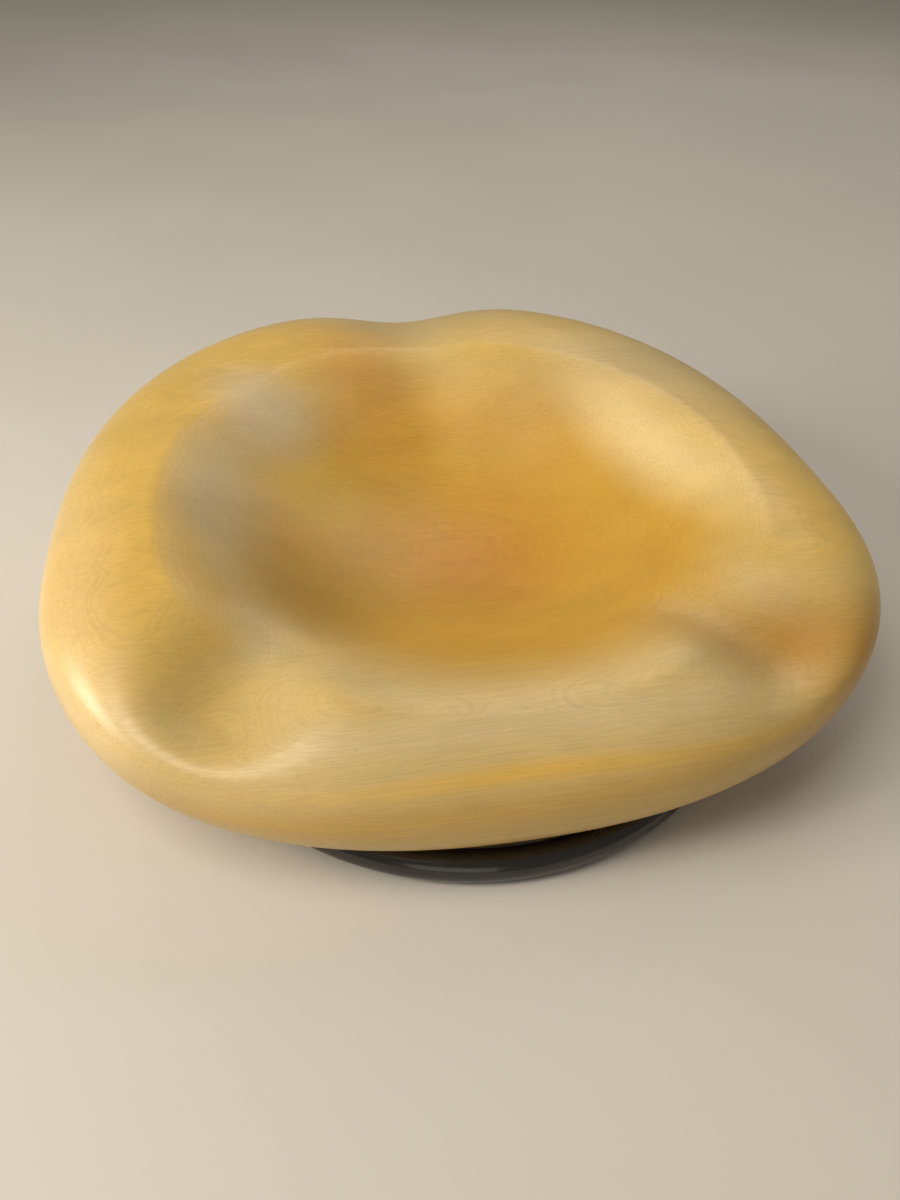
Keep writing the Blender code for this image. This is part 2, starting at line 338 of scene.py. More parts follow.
# ---- Node helpers ------------------------------------------------------------------------------------------
@dataclass
class Graph:
    """Thin layer over a material's node tree, so that a finish reads as a formula.

    Attributes:
        name: name of the material.
        tree: its node tree.
        shader: its Principled shader.
        material: the material itself.
    """

    name: str
    tree: bpy.types.NodeTree = field(init=False)
    shader: bpy.types.Node = field(init=False)
    material: bpy.types.Material = field(init=False)

    def __post_init__(self) -> None:
        """Start the material with a Principled shader."""
        self.material = bpy.data.materials.new(self.name)
        self.material.use_nodes = True
        self.tree = self.material.node_tree
        self.shader = self.tree.nodes["Principled BSDF"]

    def node(self, kind: str, **settings: object) -> bpy.types.Node:
        """Add a node.

        Args:
            kind: Blender's name for the node.
            settings: properties to set on it.

        Returns:
            The new node.
        """
        made = self.tree.nodes.new(kind)
        for key, value in settings.items():
            setattr(made, key, value)
        return made

    def feed(self, socket: Socket, value: object) -> None:
        """Link an output into a socket, or set the socket's own number.

        Args:
            socket: the socket that is fed.
            value: an output, a number or a tuple of numbers.
        """
        if isinstance(value, Socket):
            self.tree.links.new(value, socket)
        else:
            socket.default_value = value

    def shade(self, **inputs: object) -> None:
        """Feed the shader's inputs.

        Args:
            inputs: values by the input's name, with _ for a space.
        """
        for name, value in inputs.items():
            self.feed(self.shader.inputs[name.replace("_", " ")], value)

    def coords(self) -> Socket:
        """Return the object coordinates."""
        return self.node("ShaderNodeTexCoord").outputs["Object"]

    def maths(self, operation: str, *values: object) -> Socket:
        """Work out one Math node.

        Args:
            operation: the node's operation.
            values: its inputs in order.

        Returns:
            The result.
        """
        made = self.node("ShaderNodeMath", operation=operation)
        for socket, value in zip(made.inputs, values):
            self.feed(socket, value)
        return made.outputs[0]

    def axes(self, vector: Socket) -> Sequence[Socket]:
        """Split a vector.

        Args:
            vector: the vector.

        Returns:
            Its X, Y and Z.
        """
        made = self.node("ShaderNodeSeparateXYZ")
        self.feed(made.inputs[0], vector)
        return made.outputs[0], made.outputs[1], made.outputs[2]

    def mapped(self, vector: Socket, size: Place, centre: Place = (0, 0, 0),
               turn: Place = (0, 0, 0)) -> Socket:
        """Measure coordinates from a centre, turned and divided by a size along each axis.

        Args:
            vector: the coordinates to start from.
            size: length along each axis that becomes 1.
            centre: point that becomes the origin.
            turn: rotation in degrees.

        Returns:
            The new coordinates.
        """
        made = self.node("ShaderNodeMapping", vector_type="TEXTURE")
        self.feed(made.inputs["Vector"], vector)
        made.inputs["Location"].default_value = centre
        made.inputs["Rotation"].default_value = [math.radians(angle) for angle in turn]
        made.inputs["Scale"].default_value = size
        return made.outputs[0]

    def noise(self, vector: Socket, detail: float = 2.0, rough: float = 0.5) -> Socket:
        """Add a noise texture.

        Args:
            vector: coordinates in which a feature is about 1 long.
            detail: number of finer layers.
            rough: how strong each finer layer is.

        Returns:
            Its value, about 0.5 on average.
        """
        made = self.node("ShaderNodeTexNoise")
        self.feed(made.inputs["Vector"], vector)
        made.inputs["Scale"].default_value = 1.0
        made.inputs["Detail"].default_value = detail
        made.inputs["Roughness"].default_value = rough
        return made.outputs[0]

    def sway(self, value: Socket, noise: Socket, height: float) -> Socket:
        """Add a noise to a value, up and down.

        Args:
            value: the value.
            noise: a noise of 0.5 on average.
            height: how far its whole range moves the value.

        Returns:
            The moved value.
        """
        return self.maths("MULTIPLY_ADD", self.maths("SUBTRACT", noise, 0.5), height, value)

    def remap(self, value: object, low: float, high: float, out_low: float = 0.0,
              out_high: float = 1.0) -> Socket:
        """Carry a value smoothly from one range to another, clamped.

        Args:
            value: the value.
            low: where the first range starts.
            high: where it ends.
            out_low: what the start becomes.
            out_high: what the end becomes.

        Returns:
            The new value.
        """
        made = self.node("ShaderNodeMapRange", interpolation_type="SMOOTHSTEP")
        for socket, number in zip(made.inputs, (value, low, high, out_low, out_high)):
            self.feed(socket, number)
        return made.outputs[0]

    def blend(self, share: object, first: object, second: object) -> Socket:
        """Mix two colours.

        Args:
            share: how much of the second colour there is.
            first: colour or socket.
            second: colour or socket.

        Returns:
            The mixed colour.
        """
        made = self.node("ShaderNodeMix", data_type="RGBA")
        self.feed(made.inputs[0], share)
        for socket, value in ((made.inputs[6], first), (made.inputs[7], second)):
            self.feed(socket, value if isinstance(value, Socket) else (*value, 1.0))
        return made.outputs[2]

    def scale(self, colour: Socket, factor: object) -> Socket:
        """Make a colour lighter or darker without changing its hue.

        Args:
            colour: the colour.
            factor: what it is multiplied by.

        Returns:
            The new colour.
        """
        made = self.node("ShaderNodeVectorMath", operation="SCALE")
        self.feed(made.inputs[0], colour)
        self.feed(made.inputs["Scale"], factor)
        return made.outputs["Vector"]

    def ramp(self, value: Socket, stops: Sequence[tuple[float, Colour]]) -> Socket:
        """Read a colour from a ramp.

        Args:
            value: place on the ramp, from 0 to 1.
            stops: the ramp's places and colours.

        Returns:
            The colour.
        """
        made = self.node("ShaderNodeValToRGB")
        self.feed(made.inputs[0], value)
        elements = made.color_ramp.elements
        while len(elements) < len(stops):
            elements.new(0.5)
        for element, (position, colour) in zip(elements, stops):
            element.position = position
            element.color = (*colour, 1.0)
        made.color_ramp.interpolation = "EASE"
        return made.outputs[0]

    def bump(self, height: Socket, distance: float) -> Socket:
        """Raise the surface by a height field.

        Args:
            height: the field, from 0 to 1.
            distance: the height of 1 in metres.

        Returns:
            The normal.
        """
        made = self.node("ShaderNodeBump")
        made.inputs["Strength"].default_value = 1.0
        made.inputs["Distance"].default_value = distance
        self.feed(made.inputs["Height"], height)
        return made.outputs[0]


# ---- Finishes ----------------------------------------------------------------------------------------------
@dataclass(frozen=True)
class Zone:
    """Soft-edged patch of timber coloured differently; some patches are wood figure, others hold painted
    shade and painted highlights.

    Attributes:
        colour: linear colour at the middle of the patch.
        centre: its middle, from the middle of the seat's widest line.
        size: half lengths along its own axes.
        turn: its turn about the vertical in degrees.
        strength: how far the colour goes at the middle.
        edge: how abruptly it ends, from 0, all fade, to 1, a line.
    """

    colour: Colour
    centre: Place
    size: Place
    turn: float = 0.0
    strength: float = 1.0
    edge: float = 0.0


@dataclass(frozen=True)
class Timber:
    """Pale yellow timber with closed growth bands under a satin lacquer.

    Attributes:
        origin: middle of the seat's widest line.
        tilt: rise of the growth layers towards the rear and towards +X.
        layer_low: lowest layer that the bands colour.
        layer_high: highest one.
        bands: growth layers from low to high, as (share of the height, colour).
        heart: warm wood that the bowl is carved down into.
        zones: patches over it, some of figure and some of painted shade and painted highlight.
        waver: size of the slow swing of the layers.
        waver_rise: height of that swing.
        ripple: size of their small swing.
        ripple_rise: height of the small swing.
        ring_pitch: thickness that five growth rings share.
        fibre_turn: lean of the fibres in degrees.
        fibre: size of a fibre streak.
        fibre_relief: depth of the fibres under the lacquer.
        fleck: size of a dark fleck.
        fleck_colour: its linear colour.
        cloud: size of the soft shading.
        rough: lowest and highest roughness.
        coat: strength of the lacquer.
        coat_rough: its roughness.
        index: index of refraction.
    """

    origin: Place
    tilt: tuple[float, float] = (0.08, 0.04)
    layer_low: float = -0.045
    layer_high: float = 0.075
    bands: tuple[tuple[float, Colour], ...] = (
        (0.00, (0.56, 0.36, 0.09)),
        (0.25, (0.60, 0.39, 0.10)),
        (0.40, (0.58, 0.39, 0.12)),
        (0.50, (0.57, 0.37, 0.10)),
        (0.64, (0.58, 0.43, 0.18)),
        (0.74, (0.60, 0.45, 0.19)),
        (0.84, (0.64, 0.42, 0.10)),
        (1.00, (0.68, 0.41, 0.065)),
    )
    heart: Zone = Zone((0.56, 0.32, 0.040), (0.026, 0.020, 0.0), (0.168, 0.165, 0.200), edge=0.60)
    zones: tuple[Zone, ...] = (
        # The bowl: its orange middle, its rear wall, its left floor, and its left front, darker wood with
        # painted shade on it.
        Zone((0.50, 0.21, 0.010), (0.014, 0.018, 0.0), (0.090, 0.085, 0.100), strength=0.8),
        Zone((0.60, 0.30, 0.040), (-0.036, 0.150, 0.045), (0.060, 0.085, 0.060), 12.0, strength=0.75),
        Zone((0.62, 0.40, 0.050), (-0.078, 0.070, 0.022), (0.055, 0.046, 0.050), -20.0, strength=0.85),
        Zone((0.42, 0.24, 0.020), (-0.086, -0.026, 0.020), (0.066, 0.066, 0.060), strength=0.85),
        # The left side: pale sapwood on the inner wall, partly a painted sheen; the thigh channel, darkened
        # with painted shade; and the rim, lightened as a painted highlight.
        Zone((0.60, 0.49, 0.31), (-0.104, 0.118, 0.050), (0.042, 0.062, 0.055), 38.0, strength=0.85),
        Zone((0.57, 0.45, 0.24), (-0.134, 0.034, 0.048), (0.028, 0.085, 0.055), 4.0, strength=0.7),
        Zone((0.50, 0.34, 0.085), (-0.140, -0.100, 0.035), (0.045, 0.075, 0.060), 12.0, strength=0.85),
        Zone((0.74, 0.55, 0.28), (-0.196, -0.040, 0.020), (0.040, 0.200, 0.070), 4.0, strength=0.8),
        # The right side: the thigh channel and its outer end, warm wood darkened further with painted shadow;
        # the rim; and the inner ridge, lightened as a painted highlight.
        Zone((0.40, 0.19, 0.012), (0.158, -0.106, 0.018), (0.110, 0.044, 0.050), -6.0, strength=0.95),
        Zone((0.45, 0.22, 0.012), (0.172, -0.125, -0.005), (0.080, 0.060, 0.050), -20.0, strength=0.9),
        Zone((0.78, 0.50, 0.055), (0.182, 0.000, 0.020), (0.078, 0.150, 0.085), 12.0, strength=0.9),
        Zone((0.70, 0.46, 0.090), (0.080, 0.180, 0.040), (0.130, 0.060, 0.090), 25.0, strength=0.6),
        Zone((0.84, 0.67, 0.34), (0.127, 0.055, 0.050), (0.038, 0.150, 0.060), 18.0, strength=0.8),
        # Streaks along the front roll.
        Zone((0.62, 0.50, 0.32), (0.000, -0.150, 0.030), (0.170, 0.030, 0.0080), 2.0, strength=0.55),
        Zone((0.72, 0.42, 0.040), (0.020, -0.150, 0.015), (0.190, 0.030, 0.0065), 3.0, strength=0.75),
        Zone((0.70, 0.42, 0.050), (-0.060, -0.150, 0.001), (0.110, 0.030, 0.0045), -2.0, strength=0.5),
    )
    waver: Place = (0.22, 0.10, 0.10)
    waver_rise: float = 0.016
    ripple: Place = (0.06, 0.025, 0.025)
    ripple_rise: float = 0.0035
    ring_pitch: float = 0.0021
    fibre_turn: Place = (0.0, 2.0, 1.5)
    fibre: Place = (0.045, 0.0011, 0.0011)
    fibre_relief: float = 0.00006
    fleck: Place = (0.0035, 0.0006, 0.0006)
    fleck_colour: Colour = (0.24, 0.13, 0.03)
    cloud: Place = (0.07, 0.035, 0.035)
    rough: tuple[float, float] = (0.36, 0.44)
    coat: float = 0.28
    coat_rough: float = 0.30
    index: float = 1.48

    def layer(self, graph: Graph, seat: Socket) -> Socket:
        """Work out which growth layer a place is in.

        Args:
            graph: the material's graph.
            seat: coordinates from the middle of the widest line.

        Returns:
            The layer's height in metres, with its tilt and waver.
        """
        x, y, z = graph.axes(seat)
        level = graph.maths("MULTIPLY_ADD", y, -self.tilt[0], z)
        level = graph.maths("MULTIPLY_ADD", x, -self.tilt[1], level)
        level = graph.sway(level, graph.noise(graph.mapped(seat, self.waver)), self.waver_rise)
        return graph.sway(level, graph.noise(graph.mapped(seat, self.ripple)), self.ripple_rise)

    def patch(self, graph: Graph, seat: Socket, zone: Zone, under: Socket) -> Socket:
        """Lay one zone over a colour.

        Args:
            graph: the material's graph.
            seat: coordinates from the middle of the widest line.
            zone: the patch.
            under: the colour under it.

        Returns:
            The new colour.
        """
        local = graph.mapped(seat, zone.size, zone.centre, (0, 0, zone.turn))
        length = graph.node("ShaderNodeVectorMath", operation="LENGTH")
        graph.feed(length.inputs[0], local)
        share = graph.remap(length.outputs["Value"], 1.0, zone.edge, 0.0, zone.strength)
        return graph.blend(share, under, zone.colour)

    def figure_and_painted_light(self, graph: Graph, seat: Socket, level: Socket) -> Socket:
        """Colour the growth layers, the heart and the patches, with their figure and their painted shade and
        highlights.

        Args:
            graph: the material's graph.
            seat: coordinates from the middle of the widest line.
            level: the growth layer's height.

        Returns:
            The timber's colour, without its grain.
        """
        span = graph.maths("SUBTRACT", level, self.layer_low)
        colour = graph.ramp(graph.maths("DIVIDE", span, self.layer_high - self.layer_low), self.bands)
        for zone in (self.heart, *self.zones):
            colour = self.patch(graph, seat, zone, colour)
        return colour

    def grain(self, graph: Graph, coords: Socket, level: Socket, fibre: Socket, colour: Socket) -> Socket:
        """Shade a colour with thin growth rings, fibres, soft clouds and dark flecks.

        Args:
            graph: the material's graph.
            coords: the object coordinates.
            level: the growth layer's height.
            fibre: the fibre streaks.
            colour: the timber's colour.

        Returns:
            The colour with its grain.
        """
        rings = graph.node("ShaderNodeTexNoise", noise_dimensions="1D")
        graph.feed(rings.inputs["W"], graph.maths("DIVIDE", level, self.ring_pitch))
        rings.inputs["Scale"].default_value = 5.0
        rings.inputs["Detail"].default_value = 2.0
        fleck = graph.noise(graph.mapped(coords, self.fleck, turn=self.fibre_turn), 1.0)
        cloud = graph.noise(graph.mapped(coords, self.cloud), 4.0, 0.6)
        colour = graph.scale(colour, graph.remap(rings.outputs[0], 0.35, 0.70, 1.02, 0.95))
        colour = graph.scale(colour, graph.remap(fibre, 0.30, 0.75, 1.04, 0.92))
        colour = graph.scale(colour, graph.remap(cloud, 0.30, 0.70, 1.05, 0.94))
        return graph.blend(graph.remap(fleck, 0.70, 0.80, 0.0, 0.45), colour, self.fleck_colour)

    def material(self) -> bpy.types.Material:
        """Build the finish.

        Returns:
            The material.
        """
        graph = Graph("lacquered_timber")
        coords = graph.coords()
        seat = graph.mapped(coords, (1, 1, 1), self.origin)
        level = self.layer(graph, seat)
        fibre = graph.noise(graph.mapped(coords, self.fibre, turn=self.fibre_turn), 3.0, 0.6)
        colour = self.grain(graph, coords, level, fibre, self.figure_and_painted_light(graph, seat, level))
        graph.shade(Base_Color=colour, Roughness=graph.remap(fibre, 0.3, 0.7, *self.rough),
                    Normal=graph.bump(fibre, self.fibre_relief), Coat_Weight=self.coat,
                    Coat_Roughness=self.coat_rough, IOR=self.index)
        return graph.material


@dataclass(frozen=True)
class Enamel:
    """Glossy black stoved enamel on steel.

    Attributes:
        colour: linear colour of the enamel.
        dust_colour: linear colour of the dust on it.
        peel: size of the orange-peel texture in metres.
        peel_relief: depth of that texture.
        dust: size of a cloud of dust.
        scuff: size of a scuff along its own axes.
        scuff_turn: lean of the scuffs in degrees.
        rough: lowest and highest roughness.
        scuff_rough: roughness that a scuff adds.
        coat: strength of the clear gloss.
        coat_rough: its roughness.
    """

    colour: Colour = (0.013, 0.012, 0.012)
    dust_colour: Colour = (0.04, 0.036, 0.033)
    peel: float = 0.0016
    peel_relief: float = 0.00003
    dust: float = 0.02
    scuff: Place = (0.02, 0.0008, 0.004)
    scuff_turn: Place = (0.0, 0.0, 40.0)
    rough: tuple[float, float] = (0.16, 0.30)
    scuff_rough: float = 0.2
    coat: float = 0.4
    coat_rough: float = 0.08

    def material(self) -> bpy.types.Material:
        """Build the finish.

        Returns:
            The material.
        """
        graph = Graph("black_enamel_finish")
        coords = graph.coords()
        peel = graph.noise(graph.mapped(coords, (self.peel,) * 3))
        dust = graph.noise(graph.mapped(coords, (self.dust,) * 3), 5.0, 0.7)
        scuff = graph.noise(graph.mapped(coords, self.scuff, turn=self.scuff_turn))
        colour = graph.blend(graph.remap(dust, 0.45, 0.8, 0.0, 0.25), self.colour, self.dust_colour)
        dusty = graph.remap(dust, 0.35, 0.75, *self.rough)
        rough = graph.maths("ADD", dusty, graph.remap(scuff, 0.62, 0.8, 0.0, self.scuff_rough))
        graph.shade(Base_Color=colour, Roughness=rough, Normal=graph.bump(peel, self.peel_relief),
                    Coat_Weight=self.coat, Coat_Roughness=self.coat_rough)
        return graph.material


@dataclass(frozen=True)
class TurnedMetal:
    """Bare or plated metal with the fine rings that turning leaves.

    Attributes:
        name: name of the finish.
        colour: linear colour.
        stain: linear colour of its darker cloud.
        rough: lowest and highest roughness.
        pitch: spacing of the turning rings in metres.
        breadth: length over which a turning ring stays the same.
        relief: depth of the turning rings.
        cloud: size of a darker cloud.
    """

    name: str
    colour: Colour
    stain: Colour
    rough: tuple[float, float]
    pitch: float = 0.00025
    breadth: float = 0.05
    relief: float = 0.000012
    cloud: float = 0.004

    def material(self) -> bpy.types.Material:
        """Build the finish.

        Returns:
            The material.
        """
        graph = Graph(self.name)
        coords = graph.coords()
        cloud = graph.noise(graph.mapped(coords, (self.cloud,) * 3), 4.0, 0.6)
        rings = graph.noise(graph.mapped(coords, (self.breadth, self.breadth, self.pitch)), 1.0)
        colour = graph.blend(graph.remap(cloud, 0.4, 0.75, 0.0, 0.6), self.colour, self.stain)
        graph.shade(Base_Color=colour, Roughness=graph.remap(cloud, 0.3, 0.7, *self.rough),
                    Normal=graph.bump(rings, self.relief), Metallic=1.0)
        return graph.material


@dataclass(frozen=True)
class Plaster:
    """Pale matt floor with a faint mottle.

    Attributes:
        colour: linear colour.
        light: linear colour of the lighter mottle.
        mottle: size of the mottle in metres.
        rough: lowest and highest roughness.
    """

    colour: Colour = (0.60, 0.58, 0.55)
    light: Colour = (0.64, 0.62, 0.59)
    mottle: float = 0.3
    rough: tuple[float, float] = (0.65, 0.8)

    def material(self) -> bpy.types.Material:
        """Build the finish.

        Returns:
            The material.
        """
        graph = Graph("pale_floor_finish")
        mottle = graph.noise(graph.mapped(graph.coords(), (self.mottle,) * 3), 4.0)
        colour = graph.blend(graph.remap(mottle, 0.35, 0.65, 0.0, 0.5), self.colour, self.light)
        graph.shade(Base_Color=colour, Roughness=graph.remap(mottle, 0.3, 0.7, *self.rough))
        return graph.material


# ---- The carved seat ---------------------------------------------------------------------------------------
@dataclass
class CarvedSeat:
    """Saddle-shaped seat, carved from three boards glued face to face.

    The blank is a rounded slab with a dished rim.  A bowl and two thigh channels are carved into its top.
    A squareness of 2 is a round outline, and a larger one is a squarer outline.

    Attributes:
        origin: middle of the seat's widest line.
        half_width: from the middle out to the side.
        front_reach: from the middle to the front edge.
        rear_reach: from the middle to the rear edge, without the tail dip.
        front_squareness: squareness of the front half in plan.
        rear_squareness: squareness of the rear half in plan.
        crown_height: height of the uncarved top over the edge.
        deck_depth: depth of the flat underside under the widest line.
        crown_squareness: squareness of the uncarved top from the side.
        undercut: how far the underside's flat lies inside the edge.
        undercut_spread: how much a raised edge adds to that.
        front_lift: how far the edge is raised at the front.
        side_lift: how far it is raised at the sides.
        rear_lift: how far it is raised at the rear.
        tail_dip: how far it dips again in the middle of the rear.
        tail_inset: how far it is drawn in there.
        tail_spread: half width of that dip as an angle in plan.
        bowl_depth: depth of the bowl's carving.
        bowl_half_width: from the bowl's middle to its side.
        bowl_rear_length: from its middle to its rear.
        bowl_front_length: from its middle to its front.
        bowl_squareness: squareness of its front half in plan.
        bowl_setback: how far its middle lies behind the widest line.
        bowl_flatness: how flat its floor is.
        bowl_lip: how softly it runs out into the rim.
        thigh_depth: depth of a thigh channel.
        thigh_spread: half width of one.
        thigh_inner: plan place of its inner end.
        thigh_outer: plan place of its outer end.
        carve_blend: how sharply the bowl and the channels meet.
        carve_fade: height on the crown over which the carving starts.
        round_share: share of the underside's sweep that the rounded edge takes.
        pocket_gap: air round an insert's flange.
        pocket_step: how much smaller the barrel's pocket is than the flange's.
        pocket_mouth: depth of the flange's pocket.
        pocket_air: air over an insert's upper end.
        cuts: cuts along each edge of the cube that the blank starts from.
    """

    origin: Vector
    half_width: float = 0.218
    front_reach: float = 0.169
    rear_reach: float = 0.243
    front_squareness: float = 2.7
    rear_squareness: float = 2.4
    crown_height: float = 0.055
    deck_depth: float = 0.041
    crown_squareness: float = 2.35
    undercut: float = 0.047
    undercut_spread: float = 1.15
    front_lift: float = -0.010
    side_lift: float = 0.027
    rear_lift: float = 0.045
    tail_dip: float = 0.013
    tail_inset: float = 0.001
    tail_spread: float = 0.205
    bowl_depth: float = 0.060
    bowl_half_width: float = 0.163
    bowl_rear_length: float = 0.145
    bowl_front_length: float = 0.165
    bowl_squareness: float = 2.8
    bowl_setback: float = 0.026
    bowl_flatness: float = 2.4
    bowl_lip: float = 1.5
    thigh_depth: float = 0.019
    thigh_spread: float = 0.034
    thigh_inner: tuple[float, float] = (0.105, -0.080)
    thigh_outer: tuple[float, float] = (0.134, -0.115)
    carve_blend: float = 2.5
    carve_fade: float = 0.75
    round_share: float = 0.75
    pocket_gap: float = 0.0003
    pocket_step: float = 0.001
    pocket_mouth: float = 0.0018
    pocket_air: float = 0.002
    cuts: int = 119

    def tail_bell(self, angle: float) -> float:
        """Return how deep in the tail dip an angle in plan lies, 1 at the tail itself."""
        off_tail = math.atan2(math.sin(angle - math.pi / 2), math.cos(angle - math.pi / 2))
        return bell(off_tail, self.tail_spread)

    def outline_radius(self, angle: float) -> float:
        """Measure from the middle out to the edge in plan.

        Args:
            angle: direction in plan.

        Returns:
            The distance.
        """
        across, along = abs(math.cos(angle)), math.sin(angle)
        rear = along >= 0
        reach = self.rear_reach if rear else self.front_reach
        power = self.rear_squareness if rear else self.front_squareness
        plain = ((across / self.half_width) ** power + (abs(along) / reach) ** power) ** (-1 / power)
        return plain - self.tail_inset * self.tail_bell(angle)

    def edge_lift(self, angle: float) -> float:
        """Measure how far the edge is raised over the widest line.

        Args:
            angle: direction in plan.

        Returns:
            The height.
        """
        across, along = math.cos(angle), math.sin(angle)
        end_lift = self.rear_lift if along >= 0 else self.front_lift
        return end_lift * along ** 2 + self.side_lift * across ** 2 - self.tail_dip * self.tail_bell(angle)

    def carving(self, x: float, y: float) -> float:
        """Measure the wood that is taken off the crown.

        Args:
            x: plan place across the seat.
            y: plan place along it.

        Returns:
            The depth of wood.
        """
        along = y - self.bowl_setback
        length, power = ((self.bowl_rear_length, 2.0) if along >= 0
                         else (self.bowl_front_length, self.bowl_squareness))
        reach = ((abs(x) / self.bowl_half_width) ** power + (abs(along) / length) ** power) ** (1 / power)
        bowl = self.bowl_depth * max(0.0, 1 - reach ** self.bowl_flatness) ** self.bowl_lip
        start, end = Vector(self.thigh_inner), Vector(self.thigh_outer)
        run, point = end - start, Vector((abs(x), y)) - start
        share = max(0.0, min(1.0, point.dot(run) / run.dot(run)))
        thigh = self.thigh_depth * bell((point - share * run).length, self.thigh_spread)
        return (bowl ** self.carve_blend + thigh ** self.carve_blend) ** (1 / self.carve_blend)

    def place(self, direction: Vector) -> Vector:
        """Find the place on the carved seat for a direction on the unit sphere.

        Args:
            direction: the direction from the middle of a round blank.

        Returns:
            The place in the frame.
        """
        angle = math.atan2(direction.y, direction.x)
        level = min(1.0, math.hypot(direction.x, direction.y))
        climb = abs(direction.z)
        edge, lift = self.outline_radius(angle), self.edge_lift(angle)
        if direction.z >= 0:
            share = level ** (2 / self.crown_squareness)
            height = climb ** (2 / self.crown_squareness)
            radius = share * edge
            fade = min(1.0, height / self.carve_fade)
            fade = fade * fade * (3 - 2 * fade)
            carved = self.carving(radius * math.cos(angle), radius * math.sin(angle)) * fade
            z = self.crown_height * height + lift * share ** 2 - carved
        else:
            polar = math.asin(min(1.0, climb))
            round_width = self.undercut + self.undercut_spread * lift
            turn = polar / self.round_share
            if turn <= math.pi / 2:
                radius = edge - round_width * (1 - math.cos(turn))
                z = lift - (self.deck_depth + lift) * math.sin(turn)
            else:
                left = (math.pi / 2 - polar) / (math.pi / 2 * (1 - self.round_share))
                radius = (edge - round_width) * left
                z = -self.deck_depth
        return self.origin + Vector((radius * math.cos(angle), radius * math.sin(angle), z))

    def blank(self) -> bpy.types.Object:
        """Carve the whole seat in one piece, from a cube rounded out to the carved form.

        Returns:
            The seat before it is sawn into boards.
        """
        deselect_all()
        bpy.ops.mesh.primitive_cube_add(size=2)
        blank = settle(bpy.context.object, "seat_blank")
        edit(blank)
        bpy.ops.mesh.select_all(action="SELECT")
        bpy.ops.mesh.subdivide(number_cuts=self.cuts)
        bpy.ops.object.mode_set(mode="OBJECT")
        for vert in blank.data.vertices:
            even = Vector([math.tan(part * math.pi / 4) for part in vert.co])
            vert.co = self.place(even.normalized())
        return blank

    def board(self, blank: bpy.types.Object, name: str, bottom: float | None,
              top: float | None) -> bpy.types.Object:
        """Saw one board out of the carved blank.

        Args:
            blank: the whole seat.
            name: name of the board's piece.
            bottom: height of the glue line under it, if there is one.
            top: height of the glue line over it, if there is one.

        Returns:
            The closed board.
        """
        board = bpy.data.objects.new(name, blank.data.copy())
        bpy.context.scene.collection.objects.link(board)
        board.data.name = name
        for height, above in ((bottom, False), (top, True)):
            if height is not None:
                edit(board)
                bpy.ops.mesh.select_all(action="SELECT")
                bpy.ops.mesh.bisect(plane_co=(0, 0, height), plane_no=(0, 0, 1), use_fill=True,
                                    clear_outer=above, clear_inner=not above, threshold=MERGE)
                bpy.ops.object.mode_set(mode="OBJECT")
        return board

    def build(self, finish: bpy.types.Material) -> None:
        """Saw, drill and dress the three boards.

        Args:
            finish: the timber's material.
        """
        blank = self.blank()
        smooth(blank, 180)
        first = 0.5 * (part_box("seat_board_lower")[1].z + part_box("seat_board_middle")[0].z)
        second = 0.5 * (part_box("seat_board_middle")[1].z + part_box("seat_board_upper")[0].z)
        boards = (("lower", None, first), ("middle", first, second), ("upper", second, None))
        for level, bottom, top in boards:
            board = self.board(blank, f"{level}_board", bottom, top)
            if bottom is None:
                self.drill(board)
            smooth(board)
            keep_normals(board, blank)
            hand_over(board, Slot.TIMBER, finish, f"seat_board_{level}")
        bpy.data.objects.remove(blank, do_unlink=True)

    def drill(self, board: bpy.types.Object) -> None:
        """Cut the stepped pockets that the threaded inserts are driven into.

        Args:
            board: the lowest board.
        """
        for number in LUG_NUMBERS:
            low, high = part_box(f"threaded_insert_{number}")
            middle = 0.5 * (low + high)
            mouth = 0.5 * (high.x - low.x) + self.pocket_gap
            cut_away(board, rod("pocket", mouth, low.z - OVERSHOOT, low.z + self.pocket_mouth, middle, 64))
            barrel, roof = mouth - self.pocket_step, high.z + self.pocket_air
            cut_away(board, rod("pocket", barrel, low.z, roof, middle, 64))


